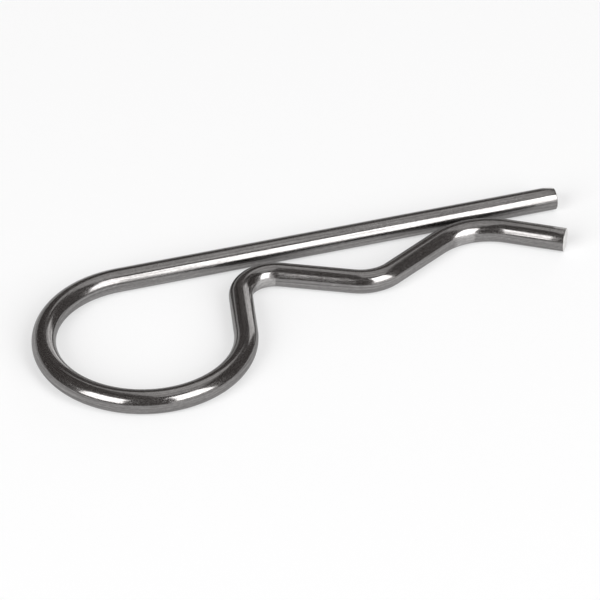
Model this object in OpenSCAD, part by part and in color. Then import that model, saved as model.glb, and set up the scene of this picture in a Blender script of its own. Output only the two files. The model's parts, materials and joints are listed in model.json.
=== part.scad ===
// Hitch pin R-clip: one length of round spring wire, bent flat in one plane.
// The straight leg goes through the cross hole of a hitch pin, and the waved leg wraps the
// outside of that pin. The finger loop joins the two legs and springs them together.
// Millimetres. The clip lies flat: +X runs along the straight leg towards its cut end, and
// +Z stands up out of the plane of the bends.

/* [Wire] */
// Diameter of the spring wire
wire_d = 3.2; // [2.4:0.1:4.4]
// How much thinner the wire is drawn in its bends, all round
bend_draw = 0.02; // [0.02:0.01:0.1]
// Width of the broken edge around each cut end
end_break = 0.1; // [0.05:0.05:0.5]

/* [Straight leg] */
// Length of the straight leg, from the finger loop to its cut end
leg_length = 61.7; // [60:0.1:90]
// How far the blade of the shear has rolled the leg's cut end over, along the wire
shear_length = 1.4; // [0.6:0.1:3]
// How deep that rolled-over land is at the cut end
shear_depth = 0.25; // [0.1:0.05:0.4]
// Which way the land faces, turned about the leg from the clip's outer side up to its top
shear_facing = 60; // [0:5:90]

/* [Finger loop] */
// Inside diameter of the finger loop
loop_inside_d = 23.2; // [18:0.2:30]

/* [Neck] */
// Lean of the wire as it leaves the loop, from square to the straight leg
neck_lean = 12; // [0:1:30]
// Inside radius of the neck bend
neck_bend_r = 3; // [1:0.1:5]
// Gap between the top of the neck and the straight leg
neck_gap = 1.7; // [0.4:0.1:3]

/* [Pin seat] */
// Slope of the wire from the neck down to the belly
fall_angle = 26.3; // [20:0.1:40]
// Distance from the straight leg's centre line to the inside of the belly
seat_reach = 8.7; // [7.5:0.1:14]
// Inside radius of the belly bend
belly_bend_r = 4.2; // [2:0.1:8]
// Slope of the wire from the belly up to the crest
rise_angle = 29.1; // [20:0.1:40]

/* [Crest and tip] */
// Gap between the crest and the straight leg
crest_gap = 0.64; // [0.2:0.02:2]
// Inside radius of the crest bend
crest_bend_r = 8; // [4:0.1:12]
// Slope of the flared tip, away from the straight leg
tip_angle = 32; // [15:1:45]
// Length of the straight part of the tip
tip_length = 8; // [4:0.1:14]

/* [Hidden] */
$fn = 96;

wire_r = wire_d / 2;
bend_wire_r = wire_r - bend_draw;

// How far a bend's wire runs into the straight wire at each of its ends
bend_lap_share = 0.06;
bend_lap = bend_lap_share * wire_d;

// How far a cut runs past the surface that it leaves
overrun = wire_d;

// Radii at the wire's centre line
loop_r = loop_inside_d / 2 + wire_r;
neck_r = neck_bend_r + wire_r;
belly_r = belly_bend_r + wire_r;
crest_r = crest_bend_r + wire_r;

// Angle that each bend turns the wire through
neck_rise_angle = 90 - neck_lean;
loop_turn = 180 + neck_rise_angle;
neck_turn = neck_rise_angle + fall_angle;
belly_turn = fall_angle + rise_angle;
crest_turn = rise_angle + tip_angle;

// Depth of each turning point below the straight leg, at the wire's centre line
loop_end_depth = loop_r * (1 + cos(neck_rise_angle));
neck_depth = wire_d + neck_gap;
belly_depth = seat_reach + wire_r;
crest_depth = wire_d + crest_gap;

// Straight run that, with the bends at its two ends, covers a given change of depth
function run_between(depth, bend_radii, slope) = (depth - bend_radii * (1 - cos(slope))) / sin(slope);

neck_run = run_between(loop_end_depth - neck_depth, neck_r, neck_rise_angle);
fall_run = run_between(belly_depth - neck_depth, neck_r + belly_r, fall_angle);
rise_run = run_between(belly_depth - crest_depth, belly_r + crest_r, rise_angle);

// Tilt of the rolled-over land at the straight leg's cut end
shear_tilt = atan(shear_depth / shear_length);

// Straight wire along +X, with what follows placed at its far end
module straight_run(length) {
    rotate([0, 90, 0])
        cylinder(d = wire_d, h = length);
    translate([length, 0, 0])
        children();
}

// Wire bent about +Z, starting on the -Y side of the bend's centre, with a lap at each end that
// lies inside the straight wire there
module bent_wire(radius, turn) {
    lap_turn = bend_lap / radius * 180 / PI;
    rotate([0, 0, -90 - lap_turn])
        rotate_extrude(angle = turn + 2 * lap_turn)
            translate([radius, 0])
                circle(r = bend_wire_r);
}

// Bend towards +Y, with what follows placed at its far end
module bend_left(radius, turn) {
    translate([0, radius, 0]) {
        bent_wire(radius, turn);
        rotate([0, 0, turn])
            translate([0, -radius, 0])
                children();
    }
}

// Bend towards -Y, with what follows placed at its far end
module bend_right(radius, turn) {
    mirror([0, 1, 0])
        bend_left(radius, turn)
            mirror([0, 1, 0])
                children();
}

// Straight wire along +X that ends in a flat cut with a broken edge
module cut_run(length) {
    rotate([0, 90, 0])
        rotate_extrude()
            polygon([
                [0, 0],
                [wire_r, 0],
                [wire_r, length - end_break],
                [wire_r - end_break, length],
                [0, length]
            ]);
}

// Wedge of metal that the shear pressed away from one side of the leg's cut end
module shear_land() {
    land_length = shear_length + overrun;
    rotate([shear_facing, 0, 0])
        translate([leg_length - shear_length, wire_r, 0])
            rotate([0, 0, -shear_tilt])
                translate([-overrun, 0, -wire_d])
                    cube([land_length + overrun, wire_d, 2 * wire_d]);
}

module straight_leg() {
    difference() {
        cut_run(leg_length);
        shear_land();
    }
}

// From the finger loop to the flared tip, as the wire is bent
module waved_leg() {
    rotate([0, 0, 180])
        bend_left(loop_r, loop_turn)
            straight_run(neck_run)
                bend_right(neck_r, neck_turn)
                    straight_run(fall_run)
                        bend_left(belly_r, belly_turn)
                            straight_run(rise_run)
                                bend_right(crest_r, crest_turn)
                                    cut_run(tip_length);
}

// The clip rests flat, centred on the loop across and on its overall length along the leg
module clip() {
    color("dimgray")
        translate([(loop_r + bend_wire_r - leg_length) / 2, loop_r - bend_draw / 2, wire_r]) {
            straight_leg();
            waved_leg();
        }
}

clip();
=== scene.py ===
"""Hitch pin R-clip: one bright spring wire, bent flat, lying on a pale studio floor."""
import json
import math

import bmesh
import bpy
from mathutils import Matrix, Vector


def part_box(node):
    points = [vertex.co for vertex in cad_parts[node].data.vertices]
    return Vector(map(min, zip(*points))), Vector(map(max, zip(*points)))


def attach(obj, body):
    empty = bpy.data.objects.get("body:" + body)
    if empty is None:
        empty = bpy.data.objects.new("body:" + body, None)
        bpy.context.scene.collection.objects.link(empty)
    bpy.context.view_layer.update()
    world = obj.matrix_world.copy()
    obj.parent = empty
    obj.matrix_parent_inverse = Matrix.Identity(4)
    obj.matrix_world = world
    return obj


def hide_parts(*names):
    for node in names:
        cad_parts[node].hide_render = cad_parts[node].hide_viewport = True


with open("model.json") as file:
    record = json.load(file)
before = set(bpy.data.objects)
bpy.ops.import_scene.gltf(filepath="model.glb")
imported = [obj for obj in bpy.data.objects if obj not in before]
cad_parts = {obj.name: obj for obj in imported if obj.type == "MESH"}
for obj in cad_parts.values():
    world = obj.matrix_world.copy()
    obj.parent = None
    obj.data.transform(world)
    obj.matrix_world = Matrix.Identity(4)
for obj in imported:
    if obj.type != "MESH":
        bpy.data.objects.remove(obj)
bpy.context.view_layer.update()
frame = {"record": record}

MM = 0.001
UP = Vector((0.0, 0.0, 1.0))

# The straight leg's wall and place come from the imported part, and the other sizes of the bent wire
# repeat those that it was bent to.
leg_mount = next(m for m in frame["record"]["mounts"] if m["name"] == "leg")
WIRE_R = leg_mount["dims"]["r_mm"] * MM
END_BREAK = 0.1 * MM
LEG_LENGTH = leg_mount["dims"]["length_mm"] * MM + END_BREAK
LEG_END = Vector((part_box("clip")[1][0], leg_mount["pos_m"][1], leg_mount["pos_m"][2]))

LOOP_INSIDE_D = 23.2 * MM
NECK_INSIDE_R = 3.0 * MM
BELLY_INSIDE_R = 4.2 * MM
CREST_INSIDE_R = 8.0 * MM
NECK_GAP = 1.7 * MM
SEAT_REACH = 8.7 * MM
CREST_GAP = 0.64 * MM
TIP_LENGTH = 8.0 * MM

# Slopes of the straight runs against the leg
NECK_RISE = math.radians(78.0)
FALL_SLOPE = math.radians(26.3)
RISE_SLOPE = math.radians(29.1)
TIP_SLOPE = math.radians(32.0)

# Radii at the wire's centre line
LOOP_R = LOOP_INSIDE_D / 2.0 + WIRE_R
NECK_R = NECK_INSIDE_R + WIRE_R
BELLY_R = BELLY_INSIDE_R + WIRE_R
CREST_R = CREST_INSIDE_R + WIRE_R

# Depths below the straight leg, at the wire's centre line
LOOP_END_DEPTH = LOOP_R * (1.0 + math.cos(NECK_RISE))
NECK_DEPTH = 2.0 * WIRE_R + NECK_GAP
BELLY_DEPTH = SEAT_REACH + WIRE_R
CREST_DEPTH = 2.0 * WIRE_R + CREST_GAP

# The land that the shear rolled over at the leg's cut end
SHEAR_LENGTH = 1.4 * MM
SHEAR_DEPTH = 0.25 * MM
SHEAR_FACING = math.radians(60.0)

# Fineness of the wire's mesh
SECTION_SIDES = 72
STRAIGHT_STEP = 2.0 * MM
BEND_STEP = 0.45 * MM
EDGE_SEGMENTS = 4
CAP_INSET = 0.12 * MM
SHARP_ANGLE = math.radians(32.0)

# The bending former's rub mark, which also carries a painted reflection, fades in over a share of its
# length, and ends short
RUB_START_SHARE = 0.45
RUB_END_SHARE = 0.12
# Share of the crest bend that the former rubbed and that gets the painted reflection
CREST_RUB_AND_SHEEN_SHARE = 0.58

# Place of the cut ends' bare steel among the wire's materials
CUT_STEEL = 1

# The floor, in metres, with a backdrop that sweeps up behind it
FLOOR_HALF_WIDTH = 4.0
FLOOR_FRONT = -4.0
FLOOR_BACK = 1.4
SWEEP_R = 0.6
SWEEP_TURN = math.radians(80.0)
SWEEP_STEPS = 24
# Share of the floor's white that is its own
OWN_WHITE_SHARE = 0.45


def run_between(depth, bend_radii, slope):
    """Straight length that, with the bends at its two ends, covers a change of depth."""
    return (depth - bend_radii * (1.0 - math.cos(slope))) / math.sin(slope)


class WirePen:
    """Draws the wire from one cut end to the other, and keeps where it has come to."""

    def __init__(self, bm, place, heading):
        self.bm = bm
        self.place = place.copy()
        self.heading = heading
        self.along = 0.0
        # Each vertex remembers its place in the wire: across it, over it and along it
        self.wire_place = bm.verts.layers.float_vector.new("wire_place")
        # and how much the bending former rubbed it and how strong the painted reflection is there, on
        # the inner side of the bends
        self.rub_and_sheen = bm.verts.layers.float.new("rub_and_sheen")
        self.rub = 0.0
        facing = Matrix.Rotation(heading, 4, "Z") @ Matrix.Rotation(math.pi / 2.0, 4, "Y")
        section = Matrix.Translation(place) @ facing
        made = bmesh.ops.create_circle(bm, segments=SECTION_SIDES, radius=WIRE_R, matrix=section)
        self.remember(made["verts"])
        self.ring = list(bm.edges)
        self.first_ring = list(self.ring)

    def direction(self):
        return Vector((math.cos(self.heading), math.sin(self.heading), 0.0))

    def left(self):
        return UP.cross(self.direction())

    def remember(self, verts):
        side = self.left()
        for vert in verts:
            offset = vert.co - self.place
            across = offset.dot(side)
            vert[self.wire_place] = (across, offset.z, self.along)
            vert[self.rub_and_sheen] = max(0.0, self.rub * across / WIRE_R)

    def extrude_ring(self):
        made = bmesh.ops.extrude_edge_only(self.bm, edges=self.ring)["geom"]
        verts = [item for item in made if isinstance(item, bmesh.types.BMVert)]
        new = set(verts)
        self.ring = [
            item for item in made
            if isinstance(item, bmesh.types.BMEdge) and item.verts[0] in new and item.verts[1] in new
        ]
        return verts

    def straight(self, length):
        steps = max(1, round(length / STRAIGHT_STEP))
        move = self.direction() * (length / steps)
        for _ in range(steps):
            verts = self.extrude_ring()
            bmesh.ops.translate(self.bm, verts=verts, vec=move)
            self.place += move
            self.along += length / steps
            self.remember(verts)

    def bend(self, radius, turn, rub_and_sheen_share=1.0):
        """Turns left through a positive angle, or right through a negative one.

        The former rubs the inner side over a share of the bend, from its start, and a painted reflection
        lies there too.
        """
        steps = max(1, round(radius * abs(turn) / BEND_STEP))
        centre = self.place + self.left() * math.copysign(radius, turn)
        turn_step = Matrix.Rotation(turn / steps, 3, "Z")
        for step in range(1, steps + 1):
            verts = self.extrude_ring()
            bmesh.ops.rotate(self.bm, verts=verts, cent=centre, matrix=turn_step)
            self.place = centre + turn_step @ (self.place - centre)
            self.heading += turn / steps
            self.along += radius * abs(turn) / steps
            progress = min(1.0, step / steps / rub_and_sheen_share)
            strength = min(1.0, progress / RUB_START_SHARE, (1.0 - progress) / RUB_END_SHARE)
            self.rub = math.copysign(strength, turn)
            self.remember(verts)
        self.rub = 0.0


def close_cut_end(bm, ring):
    """Closes a cut end flat, with a rounded edge and a flat middle."""
    cap = bmesh.ops.holes_fill(bm, edges=ring, sides=0)["faces"]
    for face in cap:
        face.material_index = CUT_STEEL
    bmesh.ops.inset_region(bm, faces=cap, thickness=END_BREAK + CAP_INSET, use_even_offset=True)
    bmesh.ops.bevel(
        bm, geom=ring, offset=END_BREAK, offset_type="OFFSET", segments=EDGE_SEGMENTS, profile=0.5,
        affect="EDGES", material=-1,
    )


def press_shear_land(bm):
    """Cuts the shallow slanting land that the shear leaves on one side of the leg's cut end."""
    facing = Vector((0.0, math.cos(SHEAR_FACING), math.sin(SHEAR_FACING)))
    tilt = math.atan2(SHEAR_DEPTH, SHEAR_LENGTH)
    normal = facing * math.cos(tilt) + Vector((1.0, 0.0, 0.0)) * math.sin(tilt)
    start = LEG_END - Vector((SHEAR_LENGTH, 0.0, 0.0)) + facing * WIRE_R
    reach = 2.0 * SHEAR_LENGTH + WIRE_R
    near_end = [v for v in bm.verts if (v.co - LEG_END).length < reach]
    near = set(near_end)
    edges = [e for e in bm.edges if not near.isdisjoint(e.verts)]
    faces = [f for f in bm.faces if not near.isdisjoint(f.verts)]
    geom = near_end + edges + faces
    made = bmesh.ops.bisect_plane(bm, geom=geom, plane_co=start, plane_no=normal, clear_outer=True)
    rim = [item for item in made["geom_cut"] if isinstance(item, bmesh.types.BMEdge)]
    bmesh.ops.holes_fill(bm, edges=rim, sides=0)


def number_by_place(bm):
    """Orders the vertices, edges and faces by their places, so that each run gives the same mesh."""
    for number, vert in enumerate(sorted(bm.verts, key=lambda v: v.co[:])):
        vert.index = number
    bm.verts.sort()
    for parts in (bm.edges, bm.faces):
        in_order = sorted(parts, key=lambda part: sorted(v.index for v in part.verts))
        for number, part in enumerate(in_order):
            part.index = number
        parts.sort()


def link_mesh(name, bm):
    """Makes a smooth object of a finished bmesh."""
    bmesh.ops.recalc_face_normals(bm, faces=bm.faces)
    number_by_place(bm)
    mesh = bpy.data.meshes.new(name)
    bm.to_mesh(mesh)
    bm.free()
    mesh.shade_smooth()
    made = bpy.data.objects.new(name, mesh)
    bpy.context.scene.collection.objects.link(made)
    return made


def build_wire():
    """The whole clip, from the leg's cut end round the loop to the flared tip."""
    bm = bmesh.new()
    pen = WirePen(bm, LEG_END, math.pi)
    pen.straight(LEG_LENGTH)
    pen.bend(LOOP_R, math.pi + NECK_RISE)
    pen.straight(run_between(LOOP_END_DEPTH - NECK_DEPTH, NECK_R, NECK_RISE))
    pen.bend(NECK_R, -NECK_RISE - FALL_SLOPE)
    pen.straight(run_between(BELLY_DEPTH - NECK_DEPTH, NECK_R + BELLY_R, FALL_SLOPE))
    pen.bend(BELLY_R, FALL_SLOPE + RISE_SLOPE)
    pen.straight(run_between(BELLY_DEPTH - CREST_DEPTH, BELLY_R + CREST_R, RISE_SLOPE))
    pen.bend(CREST_R, -RISE_SLOPE - TIP_SLOPE, CREST_RUB_AND_SHEEN_SHARE)
    pen.straight(TIP_LENGTH)
    close_cut_end(bm, pen.first_ring)
    close_cut_end(bm, pen.ring)
    press_shear_land(bm)
    wire = link_mesh("spring_wire", bm)
    wire.data.set_sharp_from_angle(angle=SHARP_ANGLE)
    wire.data.materials.append(bright_wire_material())
    wire.data.materials.append(cut_steel_material())
    return wire


def add_node(material, kind, **settings):
    """A new node in a material, with its settings."""
    node = material.node_tree.nodes.new(kind)
    for name, value in settings.items():
        setattr(node, name, value)
    return node


def patch_noise(material, place, sizes, detail, roughness):
    """Noise over a place on the surface, with patches of the given sizes along its three axes."""
    link = material.node_tree.links.new
    stretch = add_node(material, "ShaderNodeMapping")
    stretch.inputs["Scale"].default_value = [1.0 / size for size in sizes]
    noise = add_node(material, "ShaderNodeTexNoise")
    noise.inputs["Scale"].default_value = 1.0
    noise.inputs["Detail"].default_value = detail
    noise.inputs["Roughness"].default_value = roughness
    link(place, stretch.inputs["Vector"])
    link(stretch.outputs["Vector"], noise.inputs["Vector"])
    return noise.outputs["Fac"]


def wire_noise(material, across, along, detail):
    """Noise that follows the bent wire: across and along are the sizes of its patches."""
    place = add_node(material, "ShaderNodeAttribute", attribute_name="wire_place")
    return patch_noise(material, place.outputs["Vector"], (across, across, along), detail, 0.6)


def colour_ramp(material, value, stops):
    """Colours over a value: each stop is a position and a colour."""
    ramp = add_node(material, "ShaderNodeValToRGB")
    while len(ramp.color_ramp.elements) < len(stops):
        ramp.color_ramp.elements.new(0.5)
    for element, (position, colour) in zip(ramp.color_ramp.elements, stops):
        element.position = position
        element.color = (*colour, 1.0)
    material.node_tree.links.new(value, ramp.inputs["Fac"])
    return ramp.outputs["Color"]


def spread(material, value, low, high, first=0.3, last=0.7):
    """Stretches the part of a value between first and last over a range."""
    node = add_node(material, "ShaderNodeMapRange")
    node.inputs["From Min"].default_value = first
    node.inputs["From Max"].default_value = last
    node.inputs["To Min"].default_value = low
    node.inputs["To Max"].default_value = high
    material.node_tree.links.new(value, node.inputs["Value"])
    return node.outputs["Result"]


def math_node(material, operation, first, second):
    """A sum or product of two values of a material."""
    node = add_node(material, "ShaderNodeMath", operation=operation)
    material.node_tree.links.new(first, node.inputs[0])
    material.node_tree.links.new(second, node.inputs[1])
    return node.outputs["Value"]


def roughened(material, polish, mark, amount):
    """A roughness with more of it where a mark lies."""
    node = add_node(material, "ShaderNodeMath", operation="MULTIPLY_ADD")
    node.inputs[1].default_value = amount
    material.node_tree.links.new(mark, node.inputs[0])
    material.node_tree.links.new(polish, node.inputs[2])
    return node.outputs["Value"]


def marked(material, skin, mark, colour):
    """A skin that turns to another colour where a mark lies."""
    node = add_node(material, "ShaderNodeMix", data_type="RGBA")
    node.inputs["B"].default_value = (*colour, 1.0)
    material.node_tree.links.new(mark, node.inputs["Factor"])
    material.node_tree.links.new(skin, node.inputs["A"])
    return node.outputs["Result"]


def press_bump(material, shader, height, strength, depth):
    """Raises a shader's surface by a height pattern."""
    bump = add_node(material, "ShaderNodeBump")
    bump.inputs["Strength"].default_value = strength
    bump.inputs["Distance"].default_value = depth
    material.node_tree.links.new(height, bump.inputs["Height"])
    material.node_tree.links.new(bump.outputs["Normal"], shader.inputs["Normal"])


def start_material(name):
    """A new material and its shader."""
    material = bpy.data.materials.new(name)
    material.use_nodes = True
    return material, material.node_tree.nodes["Principled BSDF"]


def bright_wire_material():
    """Bright drawn steel: a dark satin mirror with fine lines along the wire, scuffs, and rub marks that
    are paler partly by a painted reflection.
    """
    material, shader = start_material("bright_drawn_wire")
    link = material.node_tree.links.new
    shader.inputs["Metallic"].default_value = 1.0
    shader.inputs["Specular Tint"].default_value = (0.7, 0.7, 0.7, 1.0)

    lines = wire_noise(material, across=0.22 * MM, along=14.0 * MM, detail=3.0)
    haze = wire_noise(material, across=1.6 * MM, along=6.0 * MM, detail=2.0)
    scuffs = wire_noise(material, across=0.5 * MM, along=1.6 * MM, detail=2.0)
    grain = wire_noise(material, across=0.2 * MM, along=0.6 * MM, detail=2.0)
    pits = wire_noise(material, across=0.03 * MM, along=0.1 * MM, detail=1.0)

    # Scuffs are few, and the former's rub marks are patchy; where they lie, a painted reflection also
    # pales the colour
    scuffed = colour_ramp(material, scuffs, [(0.72, (0.0, 0.0, 0.0)), (0.80, (1.0, 1.0, 1.0))])
    inner_side = add_node(material, "ShaderNodeAttribute", attribute_name="rub_and_sheen")
    rub_and_sheen_spread = spread(material, inner_side.outputs["Fac"], 0.0, 1.0, first=0.6, last=0.9)
    rub_and_sheen_mask = math_node(material, "MULTIPLY", rub_and_sheen_spread, spread(material, haze, 0.4, 1.0))

    drawn_skin = colour_ramp(material, lines, [
        (0.30, (0.160, 0.154, 0.152)),
        (0.50, (0.235, 0.228, 0.225)),
        (0.72, (0.325, 0.317, 0.313)),
    ])
    worn_skin = marked(material, drawn_skin, scuffed, (0.42, 0.41, 0.405))
    # Painted reflection: the bends' inner sides are made paler, partly for the former's rub and partly
    # for the floor's light mirrored there
    rub_and_sheen_skin = marked(material, worn_skin, rub_and_sheen_mask, (0.47, 0.46, 0.455))
    grained = add_node(material, "ShaderNodeVectorMath", operation="SCALE")
    link(rub_and_sheen_skin, grained.inputs["Vector"])
    link(spread(material, grain, 0.84, 1.16), grained.inputs["Scale"])
    link(grained.outputs["Vector"], shader.inputs["Base Color"])

    satin = spread(material, pits, 0.0, 0.3, first=0.5, last=0.7)
    polish = math_node(material, "ADD", spread(material, haze, 0.08, 0.15), satin)
    scuffed_polish = roughened(material, polish, scuffed, 0.2)
    rough = roughened(material, scuffed_polish, rub_and_sheen_mask, 0.18)
    link(rough, shader.inputs["Roughness"])
    press_bump(material, shader, lines, strength=0.255, depth=0.004 * MM)
    return material


def cut_steel_material():
    """Bare sheared steel on the cut ends: bright, with a grainy break."""
    material, shader = start_material("cut_steel")
    link = material.node_tree.links.new
    shader.inputs["Metallic"].default_value = 1.0
    place = add_node(material, "ShaderNodeTexCoord")
    streaks = (0.09 * MM, 0.09 * MM, 0.5 * MM)
    grain = patch_noise(material, place.outputs["Object"], streaks, detail=3.0, roughness=0.5)
    colour = colour_ramp(material, grain, [
        (0.35, (0.62, 0.61, 0.60)),
        (0.65, (0.86, 0.85, 0.84)),
    ])
    link(colour, shader.inputs["Base Color"])
    link(spread(material, grain, 0.28, 0.5), shader.inputs["Roughness"])
    press_bump(material, shader, grain, strength=0.4, depth=0.02 * MM)
    return material


def pale_floor_material():
    """A matte white floor. Part of its white is its own, so that the clip's shadow on it stays light."""
    material, shader = start_material("pale_floor")
    link = material.node_tree.links.new
    shader.inputs["Base Color"].default_value = (0.94, 0.95, 0.956, 1.0)
    shader.inputs["Roughness"].default_value = 0.9
    shader.inputs["Specular IOR Level"].default_value = 0.0
    own_white = add_node(material, "ShaderNodeEmission")
    own_white.inputs["Strength"].default_value = 1.0

    # The camera sees the floor's own white, and so do mirrors and glass, but it lights nothing
    ray = add_node(material, "ShaderNodeLightPath")
    camera_or_mirror = math_node(
        material, "ADD", ray.outputs["Is Camera Ray"], ray.outputs["Is Glossy Ray"],
    )
    seen = add_node(material, "ShaderNodeMath", operation="ADD", use_clamp=True)
    link(camera_or_mirror, seen.inputs[0])
    link(ray.outputs["Is Transmission Ray"], seen.inputs[1])
    share = add_node(material, "ShaderNodeMath", operation="MULTIPLY")
    share.inputs[1].default_value = OWN_WHITE_SHARE
    link(seen.outputs["Value"], share.inputs[0])

    floor = add_node(material, "ShaderNodeMixShader")
    link(share.outputs["Value"], floor.inputs["Fac"])
    link(shader.outputs["BSDF"], floor.inputs[1])
    link(own_white.outputs["Emission"], floor.inputs[2])
    link(floor.outputs["Shader"], material.node_tree.nodes["Material Output"].inputs["Surface"])
    return material


def build_floor():
    """A flat floor that sweeps up into a low backdrop behind the clip."""
    bm = bmesh.new()
    front = [bm.verts.new((x, FLOOR_FRONT, 0.0)) for x in (-FLOOR_HALF_WIDTH, FLOOR_HALF_WIDTH)]
    made = bmesh.ops.extrude_edge_only(bm, edges=[bm.edges.new(front)])["geom"]
    back = [item for item in made if isinstance(item, bmesh.types.BMVert)]
    bmesh.ops.translate(bm, verts=back, vec=(0.0, FLOOR_BACK - FLOOR_FRONT, 0.0))
    back_edge = [item for item in made if isinstance(item, bmesh.types.BMEdge)]
    bmesh.ops.spin(
        bm, geom=back_edge, cent=(0.0, FLOOR_BACK, SWEEP_R), axis=(1.0, 0.0, 0.0), angle=SWEEP_TURN,
        steps=SWEEP_STEPS,
    )
    floor = link_mesh("floor", bm)
    floor.data.materials.append(pale_floor_material())


def add_panel(name, width, height, radiance):
    """A plain glowing panel, as bright as the floor is where the radiance is 1."""
    lamp = bpy.data.lights.new(name, "AREA")
    lamp.shape = "RECTANGLE"
    lamp.size = width
    lamp.size_y = height
    lamp.energy = radiance * math.pi * width * height
    panel = bpy.data.objects.new(name, lamp)
    bpy.context.scene.collection.objects.link(panel)
    return panel


def add_softbox(name, distance, sides, heights, radiance):
    """An upright soft light that faces the clip, between two azimuths and two elevations, in degrees.

    Azimuth 0 is the clip's front, and 90 is its right.
    """
    half_width = distance * math.tan(math.radians(sides[1] - sides[0]) / 2.0)
    bottom = distance * math.tan(math.radians(heights[0]))
    top = distance * math.tan(math.radians(heights[1]))
    turn = math.radians(sides[0] + sides[1]) / 2.0
    softbox = add_panel(name, 2.0 * half_width, top - bottom, radiance)
    softbox.location = (distance * math.sin(turn), -distance * math.cos(turn), (bottom + top) / 2.0)
    softbox.rotation_euler = (math.pi / 2.0, 0.0, turn)


def add_overhead_panel(height, place, size, radiance):
    """A soft light that hangs level over the clip and faces down."""
    panel = add_panel("overhead_panel", *size, radiance)
    panel.location = (*place, height)


def add_lights():
    """Two softboxes in front, a low card before and one behind the clip, and a panel overhead."""
    add_softbox("left_softbox", distance=1.0, sides=(-80.0, -38.5), heights=(12.0, 51.0), radiance=5.5)
    add_softbox("right_softbox", distance=1.0, sides=(12.0, 50.0), heights=(15.0, 57.0), radiance=5.5)
    add_softbox("front_card", distance=1.1, sides=(6.0, 54.0), heights=(0.5, 16.0), radiance=1.1)
    add_softbox("back_card", distance=1.1, sides=(124.0, 154.0), heights=(0.5, 33.0), radiance=1.3)
    add_overhead_panel(height=1.2, place=(0.33, 0.4), size=(0.66, 1.6), radiance=0.71)


def add_camera():
    """The photograph's view: from the front left, looking down on the clip."""
    azimuth = math.radians(-17.63)
    elevation = math.radians(37.31)
    target = Vector((-1.72, 1.75, 1.6)) * MM
    distance = 544.0 * MM
    back = Vector((
        math.sin(azimuth) * math.cos(elevation),
        -math.cos(azimuth) * math.cos(elevation),
        math.sin(elevation),
    ))
    camera_data = bpy.data.cameras.new("camera")
    camera_data.sensor_width = 36.0
    camera_data.lens = 247.4
    camera_data.clip_start = 0.01
    camera = bpy.data.objects.new("camera", camera_data)
    camera.location = target + back * distance
    camera.rotation_euler = back.to_track_quat("Z", "Y").to_euler()
    bpy.context.scene.collection.objects.link(camera)
    bpy.context.scene.camera = camera


def set_world():
    """A dim, slightly warm room, which the wire's dark bands mirror."""
    world = bpy.data.worlds.new("studio")
    world.use_nodes = True
    sky = world.node_tree.nodes["Background"]
    sky.inputs["Color"].default_value = (1.0, 0.92, 0.89, 1.0)
    sky.inputs["Strength"].default_value = 0.15
    bpy.context.scene.world = world


wire = build_wire()
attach(wire, "root")
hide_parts("clip")

build_floor()
add_lights()
set_world()
add_camera()
bpy.context.scene.view_settings.view_transform = "Standard"
